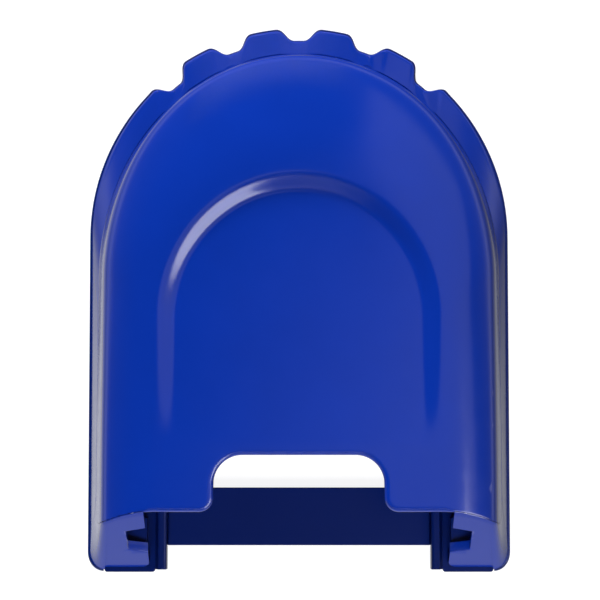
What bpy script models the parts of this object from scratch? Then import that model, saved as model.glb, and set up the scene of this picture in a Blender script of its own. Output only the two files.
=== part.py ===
"""Manual vacuum head for a pool: an arched blue hood over a horseshoe sole with rollers and brushes.

Frame: metres, +Z up, +Y towards the scalloped front, X = 0 is the plane of symmetry, and the
origin is on the floor under the middle of the bounding box. Each sub-part is one object.
"""

from dataclasses import dataclass, replace
from math import cos, pi, radians, sin

import bmesh
import bpy
from mathutils import Matrix

# Driving dimensions
LENGTH = 0.260
HALF_WIDTH = 0.100
CROWN = 0.050
GAP = 0.0003
REAR = -LENGTH / 2

# Skirt
SKIRT_BOTTOM = 0.002
EDGE_TOP = 0.0074
SEAM_FRONT = 0.012
SEAM_REAR = 0.022
WALL = 0.0027
LIP_REACH = 0.002
RAKE = 0.60
CORNER = 0.0075
CORNER_DEPTH = 0.0085
SIDE_END = -0.095
COVER_END = -0.112
SIDE_DRAFT = 0.0005
EDGE_SETBACK = 0.0014
TOOTH_RISE = 0.0012
TOOTH_FADE = 8
NOTCH_PITCH = 19.5
NOTCH_DEPTHS = {-2: 0.0074, -1: 0.0064, 0: 0.0060, 1: 0.0064, 2: 0.0074}
NOTCH_HALF_TOP = 5.4
NOTCH_HALF_BOTTOM = 2.2
APRON_SLOPE = 0.34
THROAT_HALF = 0.0705
TOOTH_TIP = 5.6
FRONT_CENTRE = LENGTH / 2 - (HALF_WIDTH + TOOTH_RISE) * cos(radians(TOOTH_TIP))
SLOT_WALL = 0.0781
SLOT_LOW = 0.0205
SLOT_HIGH = 0.0375

# Cover
COVER_WALL = 0.0026
CORNER_PLAY = 0.0018
RISER_SHARE = 0.56
RISER_WIDTH = 0.14
RISER_TURN = 5
CROWN_POWER = 1.9
RECESS = 0.0055
RECESS_END = -0.070
CUT_HALF_WIDTH = 0.0388
CUT_FRONT = -0.0752
CUT_CORNER = 0.013
CUT_FLARE = 0.0065

# Sole
SOLE_TOP = 0.005
SOLE_HALF = 0.0964
LEG_OUTER = 0.0918
LEG_INNER = 0.0680
RAIL_INNER = 0.0622
RAIL_FRONT = -0.062
BAR_REAR = -0.1175
BAR_FRONT = -0.0903
BAR_BOTTOM = 0.0023
BAR_TOP = 0.0062
BAR_TONGUE = 0.0673
BAR_TONGUE_TOP = 0.0045

# Rollers, brushes and screws
ROLLER_RADIUS = 0.0065
ROLLER_HALF = 0.0035
AXLE_RADIUS = 0.0015
AXLE_HALF = 0.0065
LUG_WIDTH = 0.0022
LUG_TOP = 0.0096
ROLLERS = {"front_left": (-0.052, 0.072), "front_right": (0.052, 0.072),
           "rear_left": (-0.0825, -0.095), "rear_right": (0.0825, -0.095)}
BRUSHES = {"front": ((0.0, 0.0535), (0.080, 0.0074)), "left": ((-0.079, -0.008), (0.0074, 0.072)),
           "right": ((0.079, -0.008), (0.0074, 0.072))}
BOSS_RADIUS = 0.0040
BOSS_SPOTS = [(-0.0893, -0.070), (0.0893, -0.070), (-0.0893, 0.010), (0.0893, 0.010),
              (-0.0317, 0.1070), (0.0317, 0.1070)]
PILOT_RADIUS = 0.0017
SCREW_RADIUS = 0.0014
RAIL_SCREW_X = 0.0712
RAIL_SCREW_YS = (-0.068, -0.084)

BLUE = (0.006, 0.040, 0.430, 1.0)
NAVY = (0.004, 0.012, 0.100, 1.0)
RUBBER_GREY = (0.045, 0.047, 0.052, 1.0)
BRISTLE_WHITE = (0.72, 0.76, 0.80, 1.0)
STEEL = (0.62, 0.63, 0.65, 1.0)


@dataclass
class Ring:
    """A plan curve: straight sides, then a half ellipse across the front."""

    half_width: float
    centre_y: float
    front_y: float


OUTLINE = Ring(HALF_WIDTH, FRONT_CENTRE, FRONT_CENTRE + HALF_WIDTH)
SEAM = Ring(0.0945, 0.010, 0.1180)
RIM = Ring(0.0655, -0.012, 0.0560)
PANEL = Ring(0.0565, -0.013, 0.0455)
SOLE_EDGE = Ring(SOLE_HALF, 0.019, 0.1190)
LIP = Ring(0.093, 0.012, 0.1160)


def inset(ring, amount):
    """The ring moved inwards by amount on its sides and its front."""
    return replace(ring, half_width=ring.half_width - amount, front_y=ring.front_y - amount)


def between(first, second, share):
    """The ring that lies share of the way from the first ring to the second."""
    values = [getattr(first, name) * (1 - share) + getattr(second, name) * share
              for name in ("half_width", "centre_y", "front_y")]
    return Ring(*values)


def smooth(value):
    """A ramp from 0 to 1 with level ends."""
    value = min(max(value, 0.0), 1.0)
    return value * value * (3 - 2 * value)


def notch_depth(angle):
    """How far the front edge steps inwards at an angle in degrees from straight ahead."""
    index = round(angle / NOTCH_PITCH)
    if index not in NOTCH_DEPTHS:
        return 0.0
    away = abs(angle - index * NOTCH_PITCH)
    return NOTCH_DEPTHS[index] * smooth((NOTCH_HALF_TOP - away) / (NOTCH_HALF_TOP - NOTCH_HALF_BOTTOM))


def tooth_offset(angle):
    """The scalloped edge, measured outwards from the plain arc."""
    last_notch = max(NOTCH_DEPTHS) * NOTCH_PITCH
    proud = TOOTH_RISE * smooth((last_notch + TOOTH_FADE - abs(angle)) / TOOTH_FADE)
    return proud - notch_depth(angle)


def notch_angles():
    """Angles across the front, close together at each notch."""
    offsets = (-5.6, -4.7, -3.8, -2.9, -2.0, 2.0, 2.9, 3.8, 4.7, 5.6)
    angles = [index * NOTCH_PITCH + offset for index in sorted(NOTCH_DEPTHS) for offset in offsets]
    middles = [(index + 0.5) * NOTCH_PITCH for index in range(-2, 2)]
    outer = [side * angle for side in (-1, 1) for angle in (48, 53, 58, 64, 70, 76, 83, 90)]
    return sorted(angles + middles + outer)


def arc(centre, radius, start, end, steps):
    """Points on a circular arc, with angles in degrees anticlockwise from +X."""
    turns = [radians(start + (end - start) * step / steps) for step in range(steps + 1)]
    return [(centre[0] + radius * cos(turn), centre[1] + radius * sin(turn)) for turn in turns]


def front_point(ring, angle):
    turn = radians(angle)
    return (ring.half_width * sin(turn), ring.centre_y + (ring.front_y - ring.centre_y) * cos(turn))


def rear_at(height):
    """Where the raked rear face stands at a height."""
    return REAR + GAP + (height - SKIRT_BOTTOM) * RAKE


def seam_height(y):
    """The seam between skirt and cover climbs from the front to the rear."""
    return SEAM_FRONT + (SEAM_REAR - SEAM_FRONT) * smooth((0.060 - y) / 0.150)


def dome_rise(share):
    """The dome's rise across its width: a steep straight wall, a tight shoulder, then a slow crown."""
    reach = share / RISER_WIDTH
    wall = reach / (1 + reach ** RISER_TURN) ** (1 / RISER_TURN)
    return RISER_SHARE * wall + (1 - RISER_SHARE) * (1 - (1 - share) ** CROWN_POWER)


def dome_height(share, y):
    low = seam_height(y) - GAP
    return low + (CROWN - low) * dome_rise(share)


def panel_height(y):
    """The sunken panel is deepest at its front and comes level with the crown near the rear."""
    return CROWN - RECESS * min(max((y - RECESS_END) / (PANEL.front_y - RECESS_END), 0.0), 1.0)


def material(name, colour, roughness, metallic=0.0):
    made = bpy.data.materials.new(name)
    made.use_nodes = True
    shader = made.node_tree.nodes["Principled BSDF"]
    shader.inputs["Base Color"].default_value = colour
    shader.inputs["Roughness"].default_value = roughness
    shader.inputs["Metallic"].default_value = metallic
    return made


def add_object(name, mesh, finish=None):
    made = bpy.data.objects.new(name, mesh)
    bpy.context.scene.collection.objects.link(made)
    if finish:
        mesh.materials.append(finish)
    return made


def mesh_from(name, points, faces):
    mesh = bpy.data.meshes.new(name)
    mesh.from_pydata(points, [], faces)
    solid = bmesh.new()
    solid.from_mesh(mesh)
    bmesh.ops.recalc_face_normals(solid, faces=solid.faces)
    solid.to_mesh(mesh)
    solid.free()
    return mesh


def loft(name, sections):
    """A closed solid through closed sections that all have the same number of points."""
    count = len(sections[0])
    points = [point for section in sections for point in section]
    faces = []
    for row in range(len(sections) - 1):
        for column in range(count):
            after = (column + 1) % count
            faces.append((row * count + column, row * count + after,
                          (row + 1) * count + after, (row + 1) * count + column))
    faces.append(tuple(range(count)))
    faces.append(tuple(range(len(points) - count, len(points))))
    return mesh_from(name, points, faces)


def prism(name, outline, low, high):
    """An outline in plan, standing from low to high."""
    return loft(name, [[(x, y, z) for x, y in outline] for z in (low, high)])


def box_outline(centre, size):
    half_x, half_y = size[0] / 2, size[1] / 2
    return [(centre[0] - half_x, centre[1] - half_y), (centre[0] + half_x, centre[1] - half_y),
            (centre[0] + half_x, centre[1] + half_y), (centre[0] - half_x, centre[1] + half_y)]


def join(name, meshes):
    """One mesh that holds several separate closed shells."""
    whole = bmesh.new()
    for mesh in meshes:
        whole.from_mesh(mesh)
        bpy.data.meshes.remove(mesh)
    mesh = bpy.data.meshes.new(name)
    whole.to_mesh(mesh)
    whole.free()
    return mesh


def helper(name, mesh):
    """A cutter or an addition that a Boolean reads and nobody sees."""
    made = add_object(name, mesh)
    made.hide_render = True
    made.display_type = "WIRE"
    return made


def combine(target, operation, tool):
    modifier = target.modifiers.new(tool.name, "BOOLEAN")
    modifier.operation = operation
    modifier.object = tool


def turned(profile, steps, axis):
    """A solid of revolution; the profile is a closed loop of (distance along axis, radius)."""
    sections = []
    for along, radius in profile:
        ring = []
        for step in range(steps):
            turn = 2 * pi * step / steps
            across, up = radius * cos(turn), radius * sin(turn)
            ring.append((along, across, up) if axis == "X" else (across, up, along))
        sections.append(ring)
    return sections


def solid_turn(name, profile, steps, axis="X"):
    """A turned solid with flat ends."""
    return loft(name, turned(profile, steps, axis))


def hollow_turn(name, profile, steps, axis="X"):
    """A turned solid with a bore: the profile's last point joins its first."""
    sections = turned(profile, steps, axis)
    points = [point for section in sections for point in section]
    faces = []
    for row in range(len(sections)):
        below = (row + 1) % len(sections)
        for column in range(steps):
            after = (column + 1) % steps
            faces.append((row * steps + column, row * steps + after,
                          below * steps + after, below * steps + column))
    return mesh_from(name, points, faces)


def moved(mesh, x, y, z=0.0):
    mesh.transform(Matrix.Translation((x, y, z)))
    return mesh


def shade_smooth(made, angle=35):
    made.data.shade_smooth()
    made.data.set_sharp_from_angle(angle=radians(angle))


# Skirt

def wall_section(kind, amount, side):
    """One section through the skirt's wall, from its outer foot round to its inner foot."""
    layers = [(OUTLINE, 0.0, 1, SKIRT_BOTTOM), (OUTLINE, SIDE_DRAFT, 1, EDGE_TOP - 0.001),
              (OUTLINE, EDGE_SETBACK, 1, EDGE_TOP), (SEAM, 0.0, 0, None), (SEAM, WALL, 0, None),
              (LIP, 0.0, 0, EDGE_TOP + GAP), (LIP, 0.0, 0, SOLE_TOP + GAP),
              (SOLE_EDGE, -2 * GAP, 0, SOLE_TOP + GAP), (SOLE_EDGE, -2 * GAP, 0, SKIRT_BOTTOM)]
    points = []
    for index, (ring, cut, toothed, height) in enumerate(layers):
        ring = inset(ring, cut)
        inner = index > 3
        if kind == "front":
            x, y = front_point(ring, amount)
            z = seam_height(y) if height is None else height
            if toothed:
                turn = radians(amount)
                x += tooth_offset(amount) * sin(turn)
                y += tooth_offset(amount) * cos(turn)
                z += APRON_SLOPE * notch_depth(amount) * (height > SKIRT_BOTTOM)
        elif kind == "side":
            x = side * ring.half_width
            y = ring.centre_y + (side_end(height) - ring.centre_y) * amount
            z = seam_height(y) if height is None else height
        else:
            x, y, z = rear_point(kind, amount, ring, height, inner)
            x *= side
        points.append((x, y, z))
    return points


def rear_point(kind, amount, ring, height, inner):
    """A point of the wall at its rounded rear corner, or on the raked face beside the throat."""
    turn = radians(90 * amount) if kind == "corner" else radians(90)
    radius = CORNER - inner * WALL
    x = ring.half_width - radius + radius * cos(turn)
    seam_x = SEAM.half_width - CORNER + CORNER * cos(turn)
    if kind == "return":
        x += (THROAT_HALF - x) * amount
        seam_x += (THROAT_HALF - seam_x) * amount
    z = height
    if height is None:
        climb = amount ** 0.7 if kind == "corner" else 1.0
        z = seam_height(SIDE_END) + (under_cover(seam_x) - seam_height(SIDE_END)) * climb
    lip = LIP_REACH if ring.half_width == LIP.half_width else 0.0
    y = rear_at(z) + WALL * 1.15 * inner + lip
    if kind == "corner":
        y = side_end(height) + (y - side_end(height)) * sin(turn)
    return x, y, z


def side_end(height):
    """Where the straight side ends; the seam's own layers end further forward and climb the corner."""
    return SIDE_END if height is None else rear_at(height) + CORNER_DEPTH


def under_cover(x):
    """The height just below the cover near its rear edge."""
    share = min(max((SEAM.half_width - x) / (SEAM.half_width - RIM.half_width), 0.0), 1.0)
    return dome_height(share, REAR) - COVER_WALL * 1.35 - GAP


def skirt_sections():
    left = [("return", amount) for amount in (1.0, 0.66, 0.33)]
    left += [("corner", amount) for amount in (1.0, 0.85, 0.7, 0.55, 0.4, 0.25, 0.1)]
    left += [("side", amount) for amount in (1.0, 0.84, 0.68, 0.52, 0.36, 0.2)]
    sections = [wall_section(kind, amount, -1) for kind, amount in left]
    sections += [wall_section("front", angle, 1) for angle in notch_angles()]
    return sections + [wall_section(kind, amount, 1) for kind, amount in reversed(left)]


def make_skirt(finish):
    """The apron and side wall in one moulding, with the raked throat ends and the screw bosses."""
    skirt = add_object("skirt", loft("skirt", skirt_sections()), finish)
    bosses = []
    pilots = []
    for x, y in BOSS_SPOTS:
        top = seam_height(y) - 0.0002
        boss = [(SOLE_TOP + 2 * GAP, BOSS_RADIUS), (top, BOSS_RADIUS)]
        bosses.append(moved(solid_turn("boss", boss, 16, "Z"), x, y))
        pilot = [(0.0040, PILOT_RADIUS), (top - 0.0006, PILOT_RADIUS)]
        pilots.append(moved(solid_turn("pilot", pilot, 12, "Z"), x, y))
    combine(skirt, "UNION", helper("skirt_bosses", join("skirt_bosses", bosses)))
    combine(skirt, "DIFFERENCE", helper("boss_pilots", join("boss_pilots", pilots)))
    slot_inner = THROAT_HALF - 0.0016
    slots = [prism("slot", box_outline((side * (slot_inner + SLOT_WALL) / 2, -0.112), (SLOT_WALL - slot_inner, 0.040)),
                   SLOT_LOW, SLOT_HIGH) for side in (-1, 1)]
    combine(skirt, "DIFFERENCE", helper("throat_slots", join("throat_slots", slots)))
    way_inner, way_outer = 0.06265, 0.09235
    feet = [prism("foot", box_outline((side * (way_inner + way_outer) / 2, -0.120), (way_outer - way_inner, 0.030)),
                  0.0, SOLE_TOP + 2 * GAP) for side in (-1, 1)]
    combine(skirt, "DIFFERENCE", helper("leg_ways", join("leg_ways", feet)))
    shade_smooth(skirt)
    return skirt


# Cover

def cover_rows():
    """Rows of points over the cover, from the seam in to the edge of the sunken panel."""
    shares = (0.0, 0.05, 0.09, 0.12, 0.145, 0.17, 0.21, 0.28, 0.40, 0.55, 0.75, 1.0)
    rows = []
    for share in shares:
        ring = between(SEAM, RIM, share)
        rows.append([(x, y, dome_height(share, y)) for x, y in cover_line(ring)])
    for share in (0.3, 0.6, 0.85, 1.0):
        ring = between(RIM, PANEL, share)
        rows.append([(x, y, CROWN + (panel_height(y) - CROWN) * smooth(share)) for x, y in cover_line(ring)])
    return rows


def cover_line(ring):
    """One row's plan: up the left side, round the front and down the right side."""
    steps = 6
    sides = [ring.centre_y + (COVER_END - ring.centre_y) * (steps - step) / steps for step in range(steps)]
    left = [(-ring.half_width, y) for y in sides]
    front = [front_point(ring, -90 + 180 * step / 24) for step in range(25)]
    return left + front + [(ring.half_width, y) for y in reversed(sides)]


def sheet(name, rows):
    """An open sheet through the rows, with one face inside the last row."""
    count = len(rows[0])
    points = [point for row in rows for point in row]
    faces = []
    for row in range(len(rows) - 1):
        for column in range(count - 1):
            first = row * count + column
            faces.append((first, first + 1, first + 1 + count, first + count))
    faces.append(tuple(range(len(points) - count, len(points))))
    return mesh_from(name, points, faces)


def envelope():
    """Everything ahead of the raked rear face, with rounded rear corners."""
    sections = []
    for height in (0.0, 0.080):
        rear = rear_at(height)
        half = SEAM.half_width + 0.0006
        right = [(half, 0.160)]
        right += [(half - CORNER + CORNER * x, SIDE_END + (SIDE_END - rear) * y)
                  for x, y in arc((0.0, 0.0), 1.0, 0, -90, 8)]
        sections.append([(x, y, height) for x, y in right + [(-x, y) for x, y in reversed(right)]])
    return loft("envelope", sections)


def rear_cut():
    """The rounded cut in the cover's rear edge, with flared outer corners."""
    inner = CUT_HALF_WIDTH - CUT_CORNER
    flare_y = rear_at(CROWN) + CUT_FLARE
    right = arc((inner, CUT_FRONT - CUT_CORNER), CUT_CORNER, 90, 0, 6)
    right += arc((CUT_HALF_WIDTH + CUT_FLARE, flare_y), CUT_FLARE, 180, 262, 5)
    right.append((CUT_HALF_WIDTH + CUT_FLARE, -0.130))
    outline = right + [(-x, y) for x, y in reversed(right)]
    return prism("rear_cut", outline, 0.030, 0.070)


def seat():
    """The space that the skirt's top edge takes, a little wider and higher than the edge itself."""
    sections = []
    for section in skirt_sections():
        outer, inner = section[3], section[4]
        across = (outer[0] - inner[0], outer[1] - inner[1])
        far = (outer[0] + 1.5 * across[0], outer[1] + 1.5 * across[1])
        near = (inner[0] - 0.6 * across[0], inner[1] - 0.6 * across[1])
        at_corner = outer[1] < SIDE_END and abs(outer[0]) > SEAM.half_width - CORNER
        top = outer[2] + (CORNER_PLAY if at_corner else GAP)
        sections.append([(*far, top), (*near, top), (*near, 0.0), (*far, 0.0)])
    return loft("cover_seat", sections)


def make_cover(finish):
    """The domed cover: one thin moulding with a sunken panel and a cut in its rear edge."""
    cover = add_object("top_cover", sheet("top_cover", cover_rows()), finish)
    thicken = cover.modifiers.new("thickness", "SOLIDIFY")
    thicken.thickness = COVER_WALL
    thicken.offset = -1
    thicken.use_even_offset = True
    combine(cover, "INTERSECT", helper("cover_envelope", envelope()))
    combine(cover, "DIFFERENCE", helper("cover_rear_cut", rear_cut()))
    combine(cover, "DIFFERENCE", helper("cover_seat", seat()))
    shade_smooth(cover, 30)
    return cover


# Sole

def sole_outline():
    """The sole's outer edge: two legs to the rear, straight sides and a rounded front."""
    right = [(LEG_INNER, REAR + 0.0015), (LEG_INNER + 0.0015, REAR), (LEG_OUTER, REAR),
             (LEG_OUTER, SIDE_END - 0.011), (SOLE_HALF, SIDE_END - 0.001)]
    front = [front_point(SOLE_EDGE, 90 - 180 * step / 36) for step in range(37)]
    left = [(-x, y) for x, y in reversed(right)]
    mouth = [(LEG_INNER * sin(radians(angle)), -0.020 + 0.058 * cos(radians(angle)))
             for angle in range(-90, 91, 10)]
    return right + front + left + mouth


def roller_slot(x, y):
    return prism("slot", box_outline((x, y), (2 * ROLLER_HALF + 0.0012, 0.0152)), 0.0, 0.020)


def roller_lugs(x, y):
    lugs = []
    for side in (-1, 1):
        middle = x + side * (ROLLER_HALF + 0.0006 + LUG_WIDTH / 2)
        lugs.append(prism("lug", box_outline((middle, y), (LUG_WIDTH, 0.0086)), SOLE_TOP - 0.001, LUG_TOP))
    return lugs


def make_sole(finish):
    """The horseshoe sole plate, with slots and lugs for the rollers and holes for what is fixed to it."""
    sole = add_object("sole_plate", prism("sole_plate", sole_outline(), SKIRT_BOTTOM, SOLE_TOP), finish)
    lugs = [lug for x, y in ROLLERS.values() for lug in roller_lugs(x, y)]
    combine(sole, "UNION", helper("roller_lugs", join("roller_lugs", lugs)))
    cuts = [roller_slot(x, y) for x, y in ROLLERS.values()]
    cuts += [prism("pocket", box_outline(spot, (size[0] + 2 * GAP, size[1] + 2 * GAP)), 0.0, 0.020)
             for spot, size in BRUSHES.values()]
    for x, y in BOSS_SPOTS:
        cuts.append(moved(solid_turn("hole", [(0.0, 0.0034), (0.0039, 0.0034), (0.0039, PILOT_RADIUS),
                                              (0.020, PILOT_RADIUS)], 16, "Z"), x, y))
    for side in (-1, 1):
        for y in RAIL_SCREW_YS:
            hole = solid_turn("hole", [(0.0, PILOT_RADIUS), (0.020, PILOT_RADIUS)], 12, "Z")
            cuts.append(moved(hole, side * RAIL_SCREW_X, y))
    combine(sole, "DIFFERENCE", helper("sole_cuts", join("sole_cuts", cuts)))
    reach = AXLE_HALF + GAP
    bores = [moved(solid_turn("bore", [(-reach, AXLE_RADIUS + GAP), (reach, AXLE_RADIUS + GAP)], 20),
                   x, y, ROLLER_RADIUS) for x, y in ROLLERS.values()]
    combine(sole, "DIFFERENCE", helper("axle_bores", join("axle_bores", bores)))
    return sole


def make_rail(side, finish):
    """One guide rail: a flange on the sole's leg and an upright beside the throat."""
    across = [(-0.0740, SOLE_TOP + GAP), (-LEG_INNER + GAP, SOLE_TOP + GAP), (-LEG_INNER + GAP, 0.0023),
              (-RAIL_INNER, 0.0023), (-RAIL_INNER, 0.0106), (-RAIL_INNER - 0.0014, 0.0120),
              (-0.0660, 0.0120), (-0.0676, 0.0078), (-0.0740, 0.0078)]
    sections = [[(-side * x, y, z) for x, z in across] for y in (REAR + 0.0014, RAIL_FRONT)]
    name = "left_guide_rail" if side < 0 else "right_guide_rail"
    rail = add_object(name, loft(name, sections), finish)
    middle = (BAR_REAR + BAR_FRONT) / 2
    way = prism("way", box_outline((side * 0.0640, middle), (0.0080, BAR_FRONT - BAR_REAR + 2 * GAP)),
                0.0, BAR_TOP + GAP)
    holes = [moved(solid_turn("hole", [(0.0, PILOT_RADIUS), (0.020, PILOT_RADIUS)], 12, "Z"),
                   side * RAIL_SCREW_X, y) for y in RAIL_SCREW_YS]
    end = prism("end", box_outline((side * 0.0740, -0.1260), (0.0078, 0.0130)), 0.0, 0.020)
    combine(rail, "DIFFERENCE", helper(name + "_cuts", join(name + "_cuts", [way, end] + holes)))
    return rail


def make_bar(finish):
    """The cross bar that ties the two legs together, with a tongue at each end in a guide rail."""
    right = [(BAR_TONGUE, BAR_BOTTOM), (BAR_TONGUE, BAR_TONGUE_TOP), (RAIL_INNER - GAP, BAR_TONGUE_TOP),
             (RAIL_INNER - GAP, BAR_TOP)]
    across = right + [(-x, z) for x, z in reversed(right)]
    sections = [[(x, y, z) for x, z in across] for y in (BAR_REAR, BAR_FRONT)]
    bar = add_object("rear_cross_bar", loft("rear_cross_bar", sections), finish)
    soften = bar.modifiers.new("soft_edges", "BEVEL")
    soften.width = 0.0004
    soften.segments = 2
    return bar


# Rollers, brushes and screws

def make_roller(place, spot, tread, steel):
    """A roller that turns on its own axle pin; both sit on the pin's axis."""
    half = ROLLER_HALF
    bore = AXLE_RADIUS + GAP
    soft = 0.0009
    profile = [(-half, bore), (half, bore), (half, ROLLER_RADIUS - soft), (half - soft, ROLLER_RADIUS),
               (soft - half, ROLLER_RADIUS), (-half, ROLLER_RADIUS - soft)]
    roller = add_object(place + "_roller", hollow_turn(place + "_roller", profile, 20), tread)
    pin_profile = [(-AXLE_HALF, AXLE_RADIUS - 0.0003), (0.0003 - AXLE_HALF, AXLE_RADIUS),
                   (AXLE_HALF - 0.0003, AXLE_RADIUS), (AXLE_HALF, AXLE_RADIUS - 0.0003)]
    pin = add_object(place + "_axle", solid_turn(place + "_axle", pin_profile, 20), steel)
    for made in (roller, pin):
        made.location = (spot[0], spot[1], ROLLER_RADIUS)
        shade_smooth(made)


def make_brush(place, spot, size, holder_finish, bristle_finish):
    """A brush block pressed into the sole, with its row of bristles below."""
    holder = add_object(place + "_brush_block",
                        prism(place + "_brush_block", box_outline(spot, size), 0.0023, 0.0070), holder_finish)
    soften = holder.modifiers.new("soft_edges", "BEVEL")
    soften.width = 0.0005
    soften.segments = 1
    shorter = (size[0] - 0.0024, size[1] - 0.0024)
    add_object(place + "_bristles",
               prism(place + "_bristles", box_outline(spot, shorter), 0.0003, 0.0020), bristle_finish)


def make_screw(name, x, y, seat, upwards, steel):
    """A screw with a pan head; seat is the height its head bears on."""
    way = 1 if upwards else -1
    head = 0.0016
    reach = 0.0070 if upwards else 0.0050
    radius = 0.0030 if upwards else 0.0024
    profile = [(-head, radius * 0.8), (-head * 0.6, radius), (-0.0001, radius),
               (-0.0001, SCREW_RADIUS), (reach - 0.0006, SCREW_RADIUS), (reach, SCREW_RADIUS * 0.5)]
    profile = [(way * along, radius) for along, radius in profile]
    screw = add_object(name, solid_turn(name, profile, 12, "Z"), steel)
    screw.location = (x, y, seat)
    shade_smooth(screw)


def clear_scene():
    for item in list(bpy.data.objects):
        bpy.data.objects.remove(item, do_unlink=True)


def build():
    clear_scene()
    shell = material("gloss_blue_plastic", BLUE, 0.22)
    frame = material("navy_frame_plastic", NAVY, 0.40)
    tread = material("roller_grey", RUBBER_GREY, 0.75)
    bristle = material("bristle_nylon", BRISTLE_WHITE, 0.60)
    steel = material("stainless_steel", STEEL, 0.30, 1.0)
    make_cover(shell)
    make_skirt(shell)
    make_sole(frame)
    make_rail(-1, frame)
    make_rail(1, frame)
    make_bar(frame)
    for place, spot in ROLLERS.items():
        make_roller(place, spot, tread, steel)
    for place, (spot, size) in BRUSHES.items():
        make_brush(place, spot, size, frame, bristle)
    for number, (x, y) in enumerate(BOSS_SPOTS, 1):
        make_screw(f"sole_screw_{number}", x, y, 0.0039, True, steel)
    corners = [(side, y) for side in (-1, 1) for y in RAIL_SCREW_YS]
    for number, (side, y) in enumerate(corners, 1):
        make_screw(f"rail_screw_{number}", side * RAIL_SCREW_X, y, 0.0078 + GAP, False, steel)


build()
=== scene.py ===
"""Looks for the pool vacuum head: finely meshed mouldings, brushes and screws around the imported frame."""

import random
from collections import namedtuple
from math import cos, pi, radians, sin, sqrt

import bmesh
import bpy
from mathutils import Matrix, Vector, kdtree


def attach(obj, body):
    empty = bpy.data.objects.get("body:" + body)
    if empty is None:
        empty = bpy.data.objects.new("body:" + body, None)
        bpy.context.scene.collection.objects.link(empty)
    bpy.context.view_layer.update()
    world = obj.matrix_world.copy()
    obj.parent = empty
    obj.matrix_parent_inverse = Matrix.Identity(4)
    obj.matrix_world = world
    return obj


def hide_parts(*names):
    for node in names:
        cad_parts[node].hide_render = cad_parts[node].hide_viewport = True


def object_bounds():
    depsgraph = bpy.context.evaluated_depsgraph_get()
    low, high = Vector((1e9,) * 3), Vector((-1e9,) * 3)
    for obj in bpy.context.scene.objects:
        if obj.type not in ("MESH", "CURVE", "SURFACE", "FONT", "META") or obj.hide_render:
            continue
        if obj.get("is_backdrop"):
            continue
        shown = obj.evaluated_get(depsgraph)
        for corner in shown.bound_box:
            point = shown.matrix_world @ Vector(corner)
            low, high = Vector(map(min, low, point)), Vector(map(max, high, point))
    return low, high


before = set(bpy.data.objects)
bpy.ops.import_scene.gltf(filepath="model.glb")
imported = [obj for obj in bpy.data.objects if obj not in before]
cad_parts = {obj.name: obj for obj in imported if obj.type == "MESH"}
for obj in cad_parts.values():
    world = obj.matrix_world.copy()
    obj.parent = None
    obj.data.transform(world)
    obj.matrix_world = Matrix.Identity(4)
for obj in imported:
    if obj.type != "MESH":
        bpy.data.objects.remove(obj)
cad_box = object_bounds()
BODY = "head"

# The same driving dimensions as the CAD part
LENGTH = 0.260
HALF_WIDTH = 0.100
CROWN = 0.050
GAP = 0.0003
REAR = -LENGTH / 2
SKIRT_BOTTOM = 0.002
EDGE_TOP = 0.0074
SEAM_FRONT = 0.012
SEAM_REAR = 0.022
WALL = 0.0027
RAKE = 0.60
CORNER = 0.0075
CORNER_DEPTH = 0.0085
SIDE_END = -0.095
TOOTH_RISE = 0.0012
NOTCH_PITCH = 19.5
NOTCH_DEPTHS = {-2: 0.0074, -1: 0.0064, 0: 0.0060, 1: 0.0064, 2: 0.0074}
NOTCH_HALF_TOP = 5.4
NOTCH_HALF_BOTTOM = 2.2
TOOTH_FADE = 8
TOOTH_BLUR = 1.1
APRON_SLOPE = 0.34
THROAT_HALF = 0.0705
FRONT_CENTRE = LENGTH / 2 - (HALF_WIDTH + TOOTH_RISE) * cos(radians(NOTCH_HALF_TOP + 0.2))
COVER_WALL = 0.0026
RISER_SHARE = 0.56
RISER_WIDTH = 0.14
RISER_WIDTH_FRONT = 0.075
RISER_TURN = 5
CROWN_POWER = 1.9
RECESS = 0.0042
RECESS_END = -0.070
RECESS_TURN = 1.2
TEXTURE_FADE = 1.0
CUT_HALF_WIDTH = 0.0388
CUT_FRONT = -0.0752
CUT_CORNER = 0.013
CUT_FLARE = 0.0065
SOLE_TOP = 0.005
SOLE_HALF = 0.0964
LEG_OUTER = 0.0918
LEG_INNER = 0.0680
LEG_TIP = 0.0012
MOUTH_CENTRE = -0.020
MOUTH_REACH = 0.058
RAIL_INNER = 0.0622
RAIL_FRONT = -0.062
BAR_REAR = -0.1175
BAR_FRONT = -0.0903
BAR_BOTTOM = 0.0023
BAR_TOP = 0.0062
BAR_TONGUE = 0.0673
BAR_TONGUE_TOP = 0.0045
ROLLER_RADIUS = 0.0065
ROLLER_HALF = 0.0035
ROLLER_SLOT = 0.0152
TREAD_GROOVE = 0.0012
AXLE_RADIUS = 0.0015
AXLE_HALF = 0.0065
LUG_WIDTH = 0.0022
LUG_LENGTH = 0.0086
LUG_TOP = 0.0096
ROLLERS = {"front_left": (-0.052, 0.072), "front_right": (0.052, 0.072),
           "rear_left": (-0.0825, -0.095), "rear_right": (0.0825, -0.095)}
BRUSHES = {"front": ((0.0, 0.0535), (0.080, 0.0074)), "left": ((-0.079, -0.008), (0.0074, 0.072)),
           "right": ((0.079, -0.008), (0.0074, 0.072))}
TUFT_PITCH = 0.0026
TUFT_ROW = 0.0014
SCREW_RADIUS = 0.0014
SOLE_SCREW_SEAT = 0.0039
RAIL_SCREW_X = 0.0712
RAIL_SCREW_YS = (-0.068, -0.084)
THREAD_PITCH = 0.0009
GROOVES = 3
GROOVE_START = 0.0360
GROOVE_PITCH = 0.0060
GROOVE_X = 0.074
GROOVE_LENGTH = 0.020
GROOVE_WIDTH = 0.0012
SLOT_WALL = 0.0795
SLOT_LOW = (0.0168, 0.0198)
SLOT_HIGH = (0.0382, 0.0345)
SHELF_THICK = 0.0014
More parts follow.
